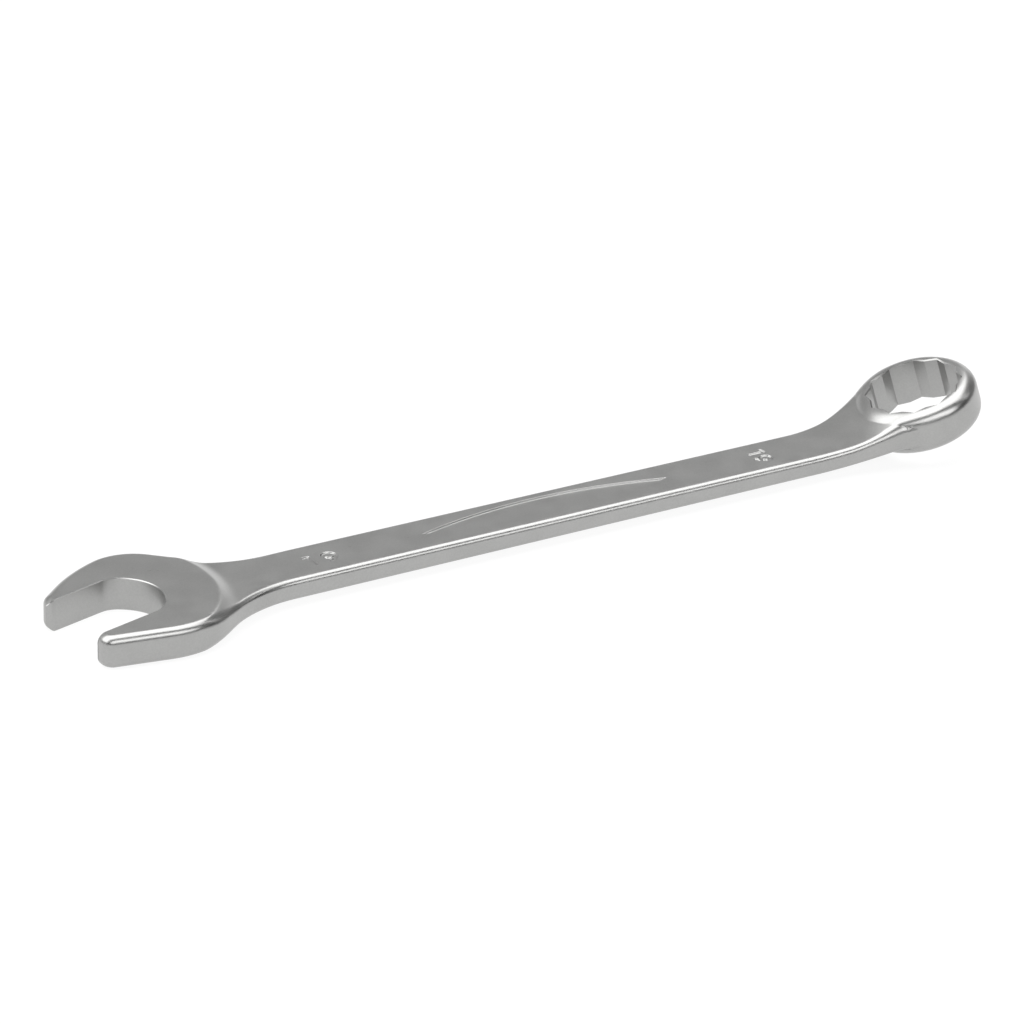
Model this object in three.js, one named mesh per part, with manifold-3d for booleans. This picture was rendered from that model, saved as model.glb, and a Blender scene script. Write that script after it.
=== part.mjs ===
// A 19 mm combination wrench: one drop forging with an open jaw at one end and a
// cranked twelve-point ring at the other. Millimetres, +X from the jaw to the ring,
// +Z up, origin under the middle of the bounding box.
import * as THREE from "three";
import { mergeVertices } from "three/addons/utils/BufferGeometryUtils.js";
import Module from "manifold-3d";

// The nut that both ends fit, and the play each end leaves round it.
const ACROSS_FLATS = 19;
const JAW_PLAY = 0.15;
const RING_PLAY = 0.12;

// Lengths along the middle of the wrench, from the middle of the jaw and round the crank.
const RING_CENTRE = 198.1;
const SHANK_FROM = 44; // the straight stretch of the shank
const SHANK_TO = 160;

// The shank, which tapers slightly from the jaw to the ring.
const SHANK_WIDTH_AT_JAW = 15.4;
const SHANK_WIDTH_AT_RING = 14.6;
const SHANK_THICKNESS_AT_JAW = 4.9;
const SHANK_THICKNESS_AT_RING = 4.4;
const SHANK_EDGE_RADIUS = 1.35;

// The open end.
const JAW_ANGLE = THREE.MathUtils.degToRad(15);
const JAW_THICKNESS = 7.6;
const JAW_EDGE_RADIUS = 2.0;
const JAW_CHAMFER = 0.2;
const THROAT_RELIEF = 0.925; // the throat's radius past half the gap
const THROAT_SET_BACK = 1.4; // the throat's centre, towards the mouth
const THROAT_SET_ACROSS = 0.6; // and towards the far wall
const THROAT_FILLET = 5;
const FAR_TIP_REACH = 12.2; // from the middle of the jaw to the front of each tip
const NEAR_TIP_REACH = 16.85;
const FAR_TIP_WIDTH = 3.1; // metal outside the gap, at the corners of the head's outline
const NEAR_TIP_WIDTH = 3.3;
const FAR_CHEEK_FRONT = 9.4;
const FAR_CHEEK_BACK = 10.4;
const NEAR_CHEEK = 13.3;
const LIP_RADIUS = 1.4; // rounds the inner corner of each tip
const LIP_PAST_TIP = 0.45; // how far in front of the tip that rounding would end
const FACE_ARC_CENTRE = new THREE.Vector2(-3.8, 2.8); // the flat face ends on this arc
const FACE_ARC_RADIUS = 25.2;
const FACE_RAMP = 0.6; // how steeply the face falls to the shank
const FACE_EASE = 0.8; // how softly the fall begins
const FACE_BLEND = 1; // and how softly it ends

// The ring end.
const RING_TILT = THREE.MathUtils.degToRad(15);
const RING_WALL = 2.9; // metal outside the bore's corners
const RING_HEIGHT = 10.1;
const RING_TOP_RADIUS = 3.3;
const RING_BOTTOM_RADIUS = 3.1;
const RING_CHAMFER = 0.4;
const RING_CORNER_BLUNT = 0.24; // taken off the depth of each corner of the bore
const RING_COVE = 0.7; // how softly the ring rises out of the neck
const RING_SIDE_FALL = 4; // how steeply the ring's side runs on down into the neck
const RING_NECK_FILLET = 60;
const CRANK_RADIUS = 65;
const CRANK_TO_RING = 13.4; // straight stretch from the bend to the ring's centre
const NECK_RAMP_LENGTH = 13.5; // the neck's rise to the top of the ring
const NECK_RAMP_POWER = 2.2;
const NECK_CREST_HALF_WIDTH = 16.5;
const NECK_RIM_FROM = 18; // the neck's rim widens between these distances from the ring's centre
const NECK_RIM_TO = 6;
const NECK_RIM_RADIUS = 2.6;

// The marks: the size stamped at each end, and a shallow lens-shaped panel.
const DIGIT_HEIGHT = 5;
const DIGIT_BOWL = 1.75; // the radius of the figure 9's bowl
const DIGIT_STROKE = 0.75;
const DIGIT_DEPTH = 0.35;
const JAW_MARK = { x: 47.65, y: -0.5, turn: 0, size: 1, pitch: 5 };
const RING_MARK = { x: 157.4, y: 0.3, turn: -Math.PI / 2, size: 0.8, pitch: 3.4 };
const PANEL_MIDDLE = 103.4;
const PANEL_LENGTH = 61.5;
const PANEL_WIDTH = 9.4;
const PANEL_DEPTH = 0.35;

// Fineness of the mesh.
const ARC_STEP = THREE.MathUtils.degToRad(9);
const THROAT_STEPS = 18;
const LIP_STEPS = 6;
const PANEL_STEPS = 12;
const RING_STATIONS = 30;
const RIM_STEPS = 6;
const LATHE_STEPS = 48;
const CUT = 30; // how far a cutting solid runs past the forging

const wasm = await Module();
wasm.setup();

function solidOf(geometry) {
  const bare = geometry.clone();
  bare.deleteAttribute("normal");
  bare.deleteAttribute("uv");
  const merged = mergeVertices(bare, 1e-4);
  return new wasm.Manifold(
    new wasm.Mesh({
      numProp: 3,
      vertProperties: merged.attributes.position.array,
      triVerts: new Uint32Array(merged.index.array),
    }),
  );
}

function geometryOf(solid) {
  const { numVert, numProp, vertProperties, triVerts } = solid.getMesh();
  const positions = new Float32Array(numVert * 3);
  for (let i = 0; i < numVert; i++)
    positions.set(vertProperties.subarray(i * numProp, i * numProp + 3), i * 3);
  const geometry = new THREE.BufferGeometry();
  geometry.setAttribute("position", new THREE.BufferAttribute(positions, 3));
  geometry.setIndex(new THREE.BufferAttribute(triVerts, 1));
  const faceted = geometry.toNonIndexed();
  faceted.computeVertexNormals();
  return faceted;
}

const point = (x, y) => new THREE.Vector2(x, y);

function arcPoints(centre, radius, from, to, fixedSteps) {
  const steps = fixedSteps ?? Math.max(2, Math.ceil(Math.abs(to - from) / ARC_STEP));
  return Array.from({ length: steps + 1 }, (_, i) => {
    const angle = from + ((to - from) * i) / steps;
    return point(centre.x + radius * Math.cos(angle), centre.y + radius * Math.sin(angle));
  });
}

// Points along straight sides whose corners [point, radius] are rounded by tangent arcs.
function roundedPath(corners) {
  const points = [corners[0][0]];
  for (let i = 1; i + 1 < corners.length; i++) {
    const [corner, radius] = corners[i];
    const back = corners[i - 1][0].clone().sub(corner).normalize();
    const ahead = corners[i + 1][0].clone().sub(corner).normalize();
    const half = Math.acos(THREE.MathUtils.clamp(back.dot(ahead), -1, 1)) / 2;
    const middle = back.clone().add(ahead).normalize();
    const centre = corner.clone().addScaledVector(middle, radius / Math.sin(half));
    const first = corner.clone().addScaledVector(back, radius / Math.tan(half)).sub(centre);
    const last = corner.clone().addScaledVector(ahead, radius / Math.tan(half)).sub(centre);
    const turn = Math.atan2(first.cross(last), first.dot(last));
    points.push(...arcPoints(centre, radius, first.angle(), first.angle() + turn));
  }
  points.push(corners.at(-1)[0]);
  return points;
}

// A point of the jaw's own frame, which runs back into the head and across to the far wall.
function inJaw(back, across) {
  return point(back, across).rotateAround(point(0, 0), JAW_ANGLE);
}

const halfGap = (ACROSS_FLATS + JAW_PLAY) / 2;
const throatRadius = halfGap + THROAT_RELIEF;
const throatCentre = new THREE.Vector2(-THROAT_SET_BACK, THROAT_SET_ACROSS);
const boreFlat = (ACROSS_FLATS + RING_PLAY) / 2;
const boreCorner = boreFlat / Math.cos(Math.PI / 6) - RING_CORNER_BLUNT;
const boreTooth = boreFlat / Math.cos(Math.PI / 12);
const ringRadius = boreCorner + RING_WALL;

// One edge of the forging seen from above, from the mouth to the ring's tip. side is +1 or -1.
function planEdge(side, headCorners) {
  const jawHalf = SHANK_WIDTH_AT_JAW / 2;
  const ringHalf = SHANK_WIDTH_AT_RING / 2;
  const filletY = ringHalf + RING_NECK_FILLET;
  const reach = ringRadius + RING_NECK_FILLET;
  const filletX = RING_CENTRE - Math.sqrt(reach * reach - filletY * filletY);
  const meet = Math.atan2(filletY, filletX - RING_CENTRE);
  const head = roundedPath([...headCorners, [point(SHANK_FROM, jawHalf * side), 1]]);
  const fillet = arcPoints(point(filletX, filletY), RING_NECK_FILLET, -Math.PI / 2, meet - Math.PI);
  const ring = arcPoints(point(RING_CENTRE, 0), ringRadius, meet, 0);
  return [...head, ...[...fillet, ...ring.slice(1)].map((p) => point(p.x, p.y * side))];
}

// The corners of the head's outline, each with the radius that rounds it: the tip, the cheek
// and the neck. The mouth is the straight front between the two tips, and both edges start
// halfway along it.
const farTip = inJaw(-FAR_TIP_REACH, halfGap + FAR_TIP_WIDTH);
const nearTip = inJaw(-NEAR_TIP_REACH, -halfGap - NEAR_TIP_WIDTH);
const mouth = farTip.clone().lerp(nearTip, 0.5);
const farEdge = planEdge(1, [
  [mouth, 0],
  [farTip, 3.0],
  [inJaw(0.9, halfGap + FAR_CHEEK_FRONT), 44],
  [inJaw(15.9, halfGap + FAR_CHEEK_BACK), 12.5],
  [point(26.6, SHANK_WIDTH_AT_JAW / 2 - 0.2), 28],
]);
const nearEdge = planEdge(-1, [
  [mouth, 0],
  [nearTip, 3.2],
  [inJaw(4.5, -halfGap - NEAR_CHEEK), 20],
  [point(28.8, -SHANK_WIDTH_AT_JAW / 2 - 0.05), 30],
]);
const outline = [...farEdge, ...nearEdge.slice(1, -1).reverse()];

// Where the outline crosses a station along the wrench: its least and greatest y.
function spanAt(x) {
  const found = [];
  outline.forEach((a, i) => {
    const b = outline[(i + 1) % outline.length];
    if ((a.x - x) * (b.x - x) > 0 || a.x === b.x) return;
    found.push(a.y + ((b.y - a.y) * (x - a.x)) / (b.x - a.x));
  });
  return [Math.min(...found), Math.max(...found)];
}

// How far a point lies inside the outline.
function depthInside(p) {
  let least = Infinity;
  outline.forEach((a, i) => {
    const side = outline[(i + 1) % outline.length].clone().sub(a);
    const along = THREE.MathUtils.clamp(p.clone().sub(a).dot(side) / side.lengthSq(), 0, 1);
    least = Math.min(least, p.distanceTo(a.clone().addScaledVector(side, along)));
  });
  return least;
}

function smoothMax(a, b, blend) {
  const near = Math.max(blend - Math.abs(a - b), 0) / blend;
  return Math.max(a, b) + (near * near * blend) / 4;
}

// How far a rounded edge of this radius has fallen at a depth inside it.
function edgeDrop(depth, radius) {
  const flat = Math.max(radius - Math.max(depth, 0), 0);
  return radius - Math.sqrt(radius * radius - flat * flat);
}

// Half the shank's thickness at a station of its straight stretch, and level past its ends.
function shankFace(x) {
  const along = THREE.MathUtils.clamp((x - SHANK_FROM) / (SHANK_TO - SHANK_FROM), 0, 1);
  return THREE.MathUtils.lerp(SHANK_THICKNESS_AT_JAW, SHANK_THICKNESS_AT_RING, along) / 2;
}

// The head and shank's surface above the middle plane, and the radius of their rim.
function headAndShank(p) {
  const shank = shankFace(p.x);
  const past = Math.max(p.distanceTo(FACE_ARC_CENTRE) - FACE_ARC_RADIUS, 0);
  const face = JAW_THICKNESS / 2 - (FACE_RAMP * past ** 2) / (past + FACE_EASE);
  const inFace = THREE.MathUtils.clamp((face - shank) / (JAW_THICKNESS / 2 - shank), 0, 1);
  const rim = THREE.MathUtils.lerp(SHANK_EDGE_RADIUS, JAW_EDGE_RADIUS, inFace);
  return [smoothMax(shank, face, FACE_BLEND), rim];
}

// The forging's surface above (side +1) or below (side -1) the middle plane at a plan point.
function halfThickness(p, side) {
  let [body, rim] = headAndShank(p);
  if (side > 0 && p.x < RING_CENTRE) {
    const beforeBore = RING_CENTRE - boreFlat - p.x;
    const climb = THREE.MathUtils.clamp(1 - beforeBore / NECK_RAMP_LENGTH, 0, 1);
    const crest = Math.max(1 - (p.y / NECK_CREST_HALF_WIDTH) ** 2, 0);
    body += (RING_HEIGHT / 2 - body) * climb ** NECK_RAMP_POWER * crest;
    const beforeRing = p.x - RING_CENTRE;
    const widened = THREE.MathUtils.smoothstep(beforeRing, -NECK_RIM_FROM, -NECK_RIM_TO);
    rim = THREE.MathUtils.lerp(rim, NECK_RIM_RADIUS, widened);
  }
  const ringDepth = ringRadius - p.distanceTo(point(RING_CENTRE, 0));
  const ringRim = side > 0 ? RING_TOP_RADIUS : RING_BOTTOM_RADIUS;
  const fall = Math.min(ringDepth, 0) * RING_SIDE_FALL;
  const ring = RING_HEIGHT / 2 - edgeDrop(ringDepth, ringRim) + fall;
  return smoothMax(body - edgeDrop(depthInside(p), rim), ring, RING_COVE);
}

// Stations along the wrench: close together where the outline turns, wide apart on the shank.
// Both ends stop just short of the outline's own ends, where its width would be nothing.
function stations() {
  const first = Math.min(...outline.map((p) => p.x));
  const tipsEnd = first + 4;
  const faceEnd = FACE_ARC_CENTRE.x + FACE_ARC_RADIUS;
  const tips = [0.001, 0.02, 0.07, 0.15, 0.3, 0.5, 0.75];
  const places = tips.map((share) => THREE.MathUtils.lerp(first, tipsEnd, share));
  const run = (from, to, count) => {
    for (let i = 0; i < count; i++) places.push(THREE.MathUtils.lerp(from, to, i / count));
  };
  run(tipsEnd, faceEnd - 4, 22);
  run(faceEnd - 4, faceEnd + 6, 12);
  run(faceEnd + 6, SHANK_FROM, 8);
  run(SHANK_FROM, SHANK_TO, 10);
  run(SHANK_TO, RING_CENTRE - ringRadius, 24);
  for (let i = 0; i < RING_STATIONS; i++)
    places.push(RING_CENTRE - ringRadius * Math.cos((Math.PI * i) / RING_STATIONS));
  return [...places, RING_CENTRE + ringRadius * 0.9988];
}

// Distances across a station, from edge to edge, close together where the rims turn.
function crossings(width) {
  const rim = Math.min(RING_TOP_RADIUS, width * 0.3);
  const turns = Array.from({ length: RIM_STEPS + 1 }, (_, i) => (i * Math.PI) / 2 / RIM_STEPS);
  const rims = turns.map((turn) => rim * (1 - Math.cos(turn)));
  const inner = [0.25, 0.5, 0.75].map((share) => THREE.MathUtils.lerp(rim, width - rim, share));
  return [...rims, ...inner, ...rims.map((d) => width - d).reverse()];
}

// Bends the flat forging up to the ring: straight, then an arc of the crank, then straight again.
function crank(x, z) {
  const bendLength = CRANK_RADIUS * RING_TILT;
  const bendFrom = RING_CENTRE - CRANK_TO_RING - bendLength;
  if (x <= bendFrom) return [x, z];
  const angle = Math.min((x - bendFrom) / CRANK_RADIUS, RING_TILT);
  const past = Math.max(x - bendFrom - bendLength, 0);
  const middleX = bendFrom + CRANK_RADIUS * Math.sin(angle) + past * Math.cos(angle);
  const middleZ = CRANK_RADIUS * (1 - Math.cos(angle)) + past * Math.sin(angle);
  return [middleX - z * Math.sin(angle), middleZ + z * Math.cos(angle)];
}

// The forging before its jaw and bore are cut: a skin over the stations, closed at both ends.
function forging() {
  const rows = stations().map((x) => {
    const [near, far] = spanAt(x);
    const across = crossings(far - near).map((d) => point(x, far - d));
    const top = across.map((p) => [p.x, p.y, halfThickness(p, 1)]);
    const bottom = across.map((p) => [p.x, p.y, -halfThickness(p, -1)]).reverse();
    return [...top, ...bottom].map(([px, py, pz]) => {
      const [bx, bz] = crank(px, pz);
      return [bx, py, bz];
    });
  });
  const around = rows[0].length;
  const positions = rows.flat(2);
  const index = [];
  for (let i = 0; i + 1 < rows.length; i++)
    for (let j = 0; j < around; j++) {
      const [a, b] = [i * around + j, i * around + ((j + 1) % around)];
      index.push(a, b, a + around, b, b + around, a + around);
    }
  const half = around / 2;
  const last = (rows.length - 1) * around;
  for (let j = 0; j + 1 < half; j++) {
    const [a, b, c, d] = [j, j + 1, around - 1 - j, around - 2 - j];
    index.push(a, c, b, b, c, d);
    index.push(last + a, last + b, last + c, last + b, last + d, last + c);
  }
  const geometry = new THREE.BufferGeometry();
  geometry.setAttribute("position", new THREE.Float32BufferAttribute(positions, 3));
  geometry.setIndex(index);
  return solidOf(geometry);
}

// One side of the slot, widened by a margin: past the mouth, round the tip's inner corner, along
// the wall and into the throat. Also gives the angle at which it meets the throat.
function slotSide(side, margin) {
  const tip = (side > 0 ? FAR_TIP_REACH : NEAR_TIP_REACH) + LIP_PAST_TIP;
  const nose = point(LIP_RADIUS - tip, side * (halfGap + LIP_RADIUS));
  const out = -side * Math.PI;
  const lip = arcPoints(nose, LIP_RADIUS - margin, out, out / 2, LIP_STEPS);
  const fillet = THROAT_FILLET + margin;
  const rise = side * (halfGap - THROAT_FILLET) - throatCentre.y;
  const run = Math.sqrt((throatRadius - THROAT_FILLET) ** 2 - rise ** 2);
  const turn = Math.atan2(rise, run);
  const filletCentre = point(throatCentre.x + run, throatCentre.y + rise);
  const bend = arcPoints(filletCentre, fillet, -out / 2, turn, LIP_STEPS);
  return [[point(-CUT, lip[0].y), ...lip, ...bend.slice(0, -1)], turn];
}

// The slot between the jaws, widened by a margin, from past the mouth to the throat.
function slotPoints(margin) {
  const [near, nearTurn] = slotSide(-1, margin);
  const [far, farTurn] = slotSide(1, margin);
  const throat = arcPoints(throatCentre, throatRadius + margin, nearTurn, farTurn, THROAT_STEPS);
  return [...near, ...throat, ...far.reverse()].map((p) => inJaw(p.x, p.y));
}

// The solid that cuts the slot. It widens where it passes each face, which leaves a chamfer.
function slot() {
  const face = JAW_THICKNESS / 2;
  const past = 3 * JAW_CHAMFER;
  const levels = [
    [past, JAW_CHAMFER - face - past],
    [0, JAW_CHAMFER - face],
    [0, face - JAW_CHAMFER],
    [past, face - JAW_CHAMFER + past],
  ];
  const rings = levels.map(([margin, z]) => slotPoints(margin).map((p) => [p.x, p.y, z]));
  const count = rings[0].length;
  const index = [];
  for (let level = 0; level + 1 < rings.length; level++)
    for (let i = 0; i < count; i++) {
      const a = level * count + i;
      const b = level * count + ((i + 1) % count);
      index.push(a, b, a + count, b, b + count, a + count);
    }
  const last = (rings.length - 1) * count;
  for (const [a, b, c] of THREE.ShapeUtils.triangulateShape(slotPoints(0), [])) {
    index.push(a, c, b);
    index.push(a + last, b + last, c + last);
  }
  const geometry = new THREE.BufferGeometry();
  geometry.setAttribute("position", new THREE.Float32BufferAttribute(rings.flat(2), 3));
  geometry.setIndex(index);
  return solidOf(geometry);
}

// Puts a geometry drawn round the Z axis on the tilted axis of the ring.
function atRing(geometry) {
  const [x, z] = crank(RING_CENTRE, 0);
  return geometry.rotateY(-RING_TILT).translate(x, 0, z);
}

// Twelve corners: two hexagons turned by thirty degrees.
function bore() {
  const points = Array.from({ length: 24 }, (_, i) => {
    const radius = i % 2 ? boreTooth : boreCorner;
    return point(radius * Math.cos((i * Math.PI) / 12), radius * Math.sin((i * Math.PI) / 12));
  });
  const shape = new THREE.Shape(points);
  const geometry = new THREE.ExtrudeGeometry(shape, { depth: 2 * CUT, bevelEnabled: false });
  return solidOf(atRing(geometry.translate(0, 0, -CUT)));
}

// A cone that chamfers the teeth where the bore opens on a face of the ring.
function boreChamfer(side) {
  const low = RING_HEIGHT / 2 - 2 * RING_CHAMFER;
  const high = RING_HEIGHT / 2 + RING_CHAMFER;
  const profile = [
    point(0, low),
    point(boreTooth - RING_CHAMFER, low),
    point(boreTooth + 2 * RING_CHAMFER, high),
    point(0, high),
  ];
  const geometry = new THREE.LatheGeometry(profile, LATHE_STEPS).rotateX(Math.PI / 2);
  if (side < 0) geometry.rotateX(Math.PI);
  return solidOf(atRing(geometry));
}

// The stamped figure 1: a stem with a short flag.
function figureOne() {
  const half = DIGIT_STROKE / 2;
  const stem = DIGIT_STROKE * 0.67; // the stem stands right of the middle, and the flag left of it
  const top = DIGIT_HEIGHT / 2;
  return [
    new THREE.Shape([
      point(stem - half, -top),
      point(stem + half, -top),
      point(stem + half, top),
      point(stem - half, top),
      point(-stem - half, top - half),
      point(-stem - half, top - 3 * half),
      point(stem - half, top - 2 * half),
    ]),
  ];
}

// The stamped figure 9: a round bowl, and a tail that curls down from its right side.
function figureNine() {
  const centre = point(0, DIGIT_HEIGHT / 2 - DIGIT_BOWL);
  const ring = new THREE.Shape(arcPoints(centre, DIGIT_BOWL, 0, 2 * Math.PI).slice(0, -1));
  const hole = arcPoints(centre, DIGIT_BOWL - DIGIT_STROKE, 0, 2 * Math.PI).slice(0, -1);
  ring.holes.push(new THREE.Path(hole));
  const sweep = DIGIT_HEIGHT - DIGIT_BOWL;
  const low = point(DIGIT_BOWL - sweep, centre.y);
  const end = -Math.PI * 0.42;
  const tail = new THREE.Shape([
    ...arcPoints(low, sweep, 0, end),
    ...arcPoints(low, sweep - DIGIT_STROKE, end, 0),
  ]);
  return [ring, tail];
}

// The size, 19, cut into the upper face. The mark's turn is the angle of its reading direction.
function sizeMark(mark) {
  const floor = shankFace(mark.x) - DIGIT_DEPTH;
  const cutFigure = (shapes, offset) =>
    shapes.map((shape) => {
      const geometry = new THREE.ExtrudeGeometry(shape, { depth: CUT, bevelEnabled: false });
      geometry.scale(mark.size, mark.size, 1).translate(offset, 0, floor);
      return solidOf(geometry.rotateZ(mark.turn).translate(mark.x, mark.y, 0));
    });
  const half = mark.pitch / 2;
  const cuts = [...cutFigure(figureOne(), -half), ...cutFigure(figureNine(), half)];
  return cuts.reduce((all, cut) => all.add(cut));
}

// The lens-shaped panel: two equal arcs that meet in points.
function panel() {
  const half = PANEL_LENGTH / 2;
  const rise = PANEL_WIDTH / 2;
  const radius = (half * half + rise * rise) / (2 * rise);
  const reach = Math.asin(half / radius);
  const up = Math.PI / 2;
  const lower = point(PANEL_MIDDLE, radius - rise);
  const upper = point(PANEL_MIDDLE, rise - radius);
  const shape = new THREE.Shape([
    ...arcPoints(lower, radius, -up - reach, -up + reach, PANEL_STEPS),
    ...arcPoints(upper, radius, up - reach, up + reach, PANEL_STEPS).slice(1, -1),
  ]);
  const geometry = new THREE.ExtrudeGeometry(shape, { depth: CUT, bevelEnabled: false });
  return solidOf(geometry.translate(0, 0, shankFace(PANEL_MIDDLE) - PANEL_DEPTH));
}

const cutters = [
  slot(),
  bore(),
  boreChamfer(1),
  boreChamfer(-1),
  panel(),
  sizeMark(JAW_MARK),
  sizeMark(RING_MARK),
];
const wrench = cutters.reduce((body, cutter) => body.subtract(cutter), forging());

const chrome = new THREE.MeshStandardMaterial({
  color: 0xa8a8a6,
  roughness: 0.28,
  metalness: 1,
});
const body = new THREE.Mesh(geometryOf(wrench), chrome);
body.name = "wrench_body";

// The origin goes under the middle of the bounding box.
const box = new THREE.Box3().setFromBufferAttribute(body.geometry.attributes.position);
const centre = box.getCenter(new THREE.Vector3());
body.position.set(-centre.x, -centre.y, -box.min.z);

const part = new THREE.Group();
part.add(body);
export default part;
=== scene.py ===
"""The looks of a 19 mm combination wrench: its fine surface in satin chrome, a studio and a camera.

The wrench is worked out flat, in the design's millimetres: x runs from the middle of the jaw to
the ring, y across, and z up from the middle of the shank. A plan is filled with triangles, lifted
to the upper and lower surface, walled, and then bent up at the ring as the forging is.
"""

import math

import bpy
import numpy as np
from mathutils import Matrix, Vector
from mathutils.geometry import delaunay_2d_cdt
from mathutils.kdtree import KDTree


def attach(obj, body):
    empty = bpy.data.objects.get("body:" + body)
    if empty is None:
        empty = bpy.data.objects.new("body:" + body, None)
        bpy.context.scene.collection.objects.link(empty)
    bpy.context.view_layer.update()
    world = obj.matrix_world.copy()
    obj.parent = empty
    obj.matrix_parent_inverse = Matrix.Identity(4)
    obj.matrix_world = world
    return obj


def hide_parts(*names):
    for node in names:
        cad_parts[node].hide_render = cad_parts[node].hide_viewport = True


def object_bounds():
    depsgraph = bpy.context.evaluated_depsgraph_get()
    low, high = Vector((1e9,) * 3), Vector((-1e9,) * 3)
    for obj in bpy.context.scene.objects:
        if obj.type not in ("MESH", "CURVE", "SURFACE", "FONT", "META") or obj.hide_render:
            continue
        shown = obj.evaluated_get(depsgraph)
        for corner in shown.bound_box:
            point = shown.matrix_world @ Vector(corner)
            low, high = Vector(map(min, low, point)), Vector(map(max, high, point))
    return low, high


MM = 0.001

# The nut that both ends fit, and the play each end leaves round it.
ACROSS_FLATS = 19
JAW_PLAY = 0.15
RING_PLAY = 0.12
HALF_GAP = (ACROSS_FLATS + JAW_PLAY) / 2
BORE_FLAT = (ACROSS_FLATS + RING_PLAY) / 2

# The shank.
RING_CENTRE = 198.1
SHANK_FROM, SHANK_TO = 44, 160
SHANK_WIDTH_AT_JAW, SHANK_WIDTH_AT_RING = 15.4, 14.6
SHANK_THICKNESS_AT_JAW, SHANK_THICKNESS_AT_RING = 4.9, 4.4
SHANK_EDGE_RADIUS = 1.35

# The open end.
JAW_ANGLE = math.radians(15)
JAW_THICKNESS = 7.6
JAW_EDGE_RADIUS = 2.0
JAW_CHAMFER = 0.2
THROAT_RADIUS = HALF_GAP + 0.925
THROAT_SET_BACK, THROAT_SET_ACROSS = 1.4, 0.6
THROAT_FILLET = 5
FAR_TIP_REACH, NEAR_TIP_REACH = 12.2, 16.85
FAR_TIP_WIDTH, NEAR_TIP_WIDTH = 3.1, 3.3
FAR_TIP_RADIUS, NEAR_TIP_RADIUS = 3.0, 3.2
# The cheeks' corners: how far back, how far past the jaw's wall, and the radius. The arcs of the
# far cheek's two corners overlap by 1.1 mm, which leaves a small fold in its wall.
FAR_CHEEK_FRONT, FAR_CHEEK_BACK = (0.9, 9.4, 44), (15.9, 10.4, 12.5)
NEAR_CHEEK = (4.5, 13.3, 20)
# The neck's corners: where along, how far inside the shank's side, and the radius.
FAR_NECK, NEAR_NECK = (26.6, 0.2, 28), (28.8, -0.05, 30)
LIP_RADIUS, LIP_PAST_TIP = 1.4, 0.45
FACE_ARC_X, FACE_ARC_Y, FACE_ARC_RADIUS = -3.8, 2.8, 25.2
FACE_RAMP, FACE_EASE, FACE_BLEND = 0.6, 0.8, 1

# The ring end.
RING_TILT = math.radians(15)
RING_WALL = 2.9
RING_HEIGHT = 10.1
RING_TOP_RADIUS, RING_BOTTOM_RADIUS = 3.3, 3.1
RING_CHAMFER = 0.25
RING_CORNER_BLUNT = 0.24
BORE_CORNER = BORE_FLAT / math.cos(math.radians(30)) - RING_CORNER_BLUNT
BORE_TOOTH = BORE_FLAT / math.cos(math.radians(15))
RING_RADIUS = BORE_CORNER + RING_WALL
RING_NECK_FILLET = 60
RING_COVE, RING_EDGE_COVE = 0.7, 2.2  # how softly the ring meets the neck, inside and at its edge
RING_COVE_FROM, RING_COVE_TO = 0.5, 3.5  # the depths between which one gives way to the other
RING_SIDE_FALL = 1.5  # how steeply the ring's shape falls outside its own circle
CRANK_RADIUS = 65
CRANK_TO_RING = 13.4
NECK_RAMP_LENGTH, NECK_RAMP_POWER = 13.5, 2.2
NECK_CREST_HALF_WIDTH = 16.5
NECK_RIM_FROM, NECK_RIM_TO, NECK_RIM_RADIUS = 18, 6, 2.6  # the neck's rim widens before the ring

# The stamped size at each end, and the shallow lens-shaped panel.
DIGIT_HEIGHT = 5
DIGIT_BOWL = 1.75  # the radius of the figure 9's bowl
DIGIT_TAIL = math.radians(72)  # how far the figure 9's tail sweeps round
ONE_STEM, ONE_FLAG, ONE_FLAG_DROP = 0.5, -0.7, 0.3
DIGIT_STROKE = 0.75
DIGIT_DEPTH = 0.35
DIGIT_WALL = 0.22
JAW_MARK = {"x": 47.65, "y": -0.5, "turn": 0, "size": 1, "pitch": 5}
RING_MARK = {"x": 157.4, "y": 0.3, "turn": -math.pi / 2, "size": 0.8, "pitch": 3.4}
PANEL_LENGTH, PANEL_WIDTH, PANEL_DEPTH, PANEL_WALL = 61.5, 9.4, 0.35, 0.4
PANEL_MIDDLE = 103.4
PANEL_RADIUS = ((PANEL_LENGTH / 2) ** 2 + (PANEL_WIDTH / 2) ** 2) / PANEL_WIDTH

# Fineness of the surface.
ARC_STEP = math.radians(0.25)
DEPTH_STEP = 0.1  # between the samples that depths are measured from
TANGENT_SPAN = 3  # samples to each side that give the edge's direction
EDGE_STEP = 0.5  # between the plan's boundary points
LIP_STRIDE, BEND_STRIDE, THROAT_STRIDE = 24, 12, 8  # arc points from one kept point to the next
BOWL_STRIDE, TAIL_STRIDE = 40, 16
RIM_STEPS = 8  # rows of points over a rounded rim
RING_STEP = 1.5  # degrees between points round the ring
BESIDE_RING = (0.7, 0.35, 0.12, 0.02)  # rows of points just outside the ring's circle
FINE_GRID, COARSE_GRID, DIGIT_GRID = 0.55, 1.1, 0.13
HEAD_GRID_FROM, HEAD_GRID_TO, RING_GRID_BEFORE = 14, 34, 36
GRID_CLEARANCE = 0.6  # of a grid's step, from the points already there
PANEL_STEP, PANEL_ROWS, PANEL_TIP = 0.3, 6, 0.05
OPENING_MARGIN, BORE_MARGIN = 0.12, 1.012
EDGE_MARGIN, ON_EDGE = 0.015, 0.004
ON_SLOT = 0.02
SLOPE_STEP = 0.01
UP = np.array((0, 0, 1.0))
LEAST_SIDE = 1e-4  # a wall's side shorter than this is left out
WELD = 0.5e-3  # points closer than about this become one

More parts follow.
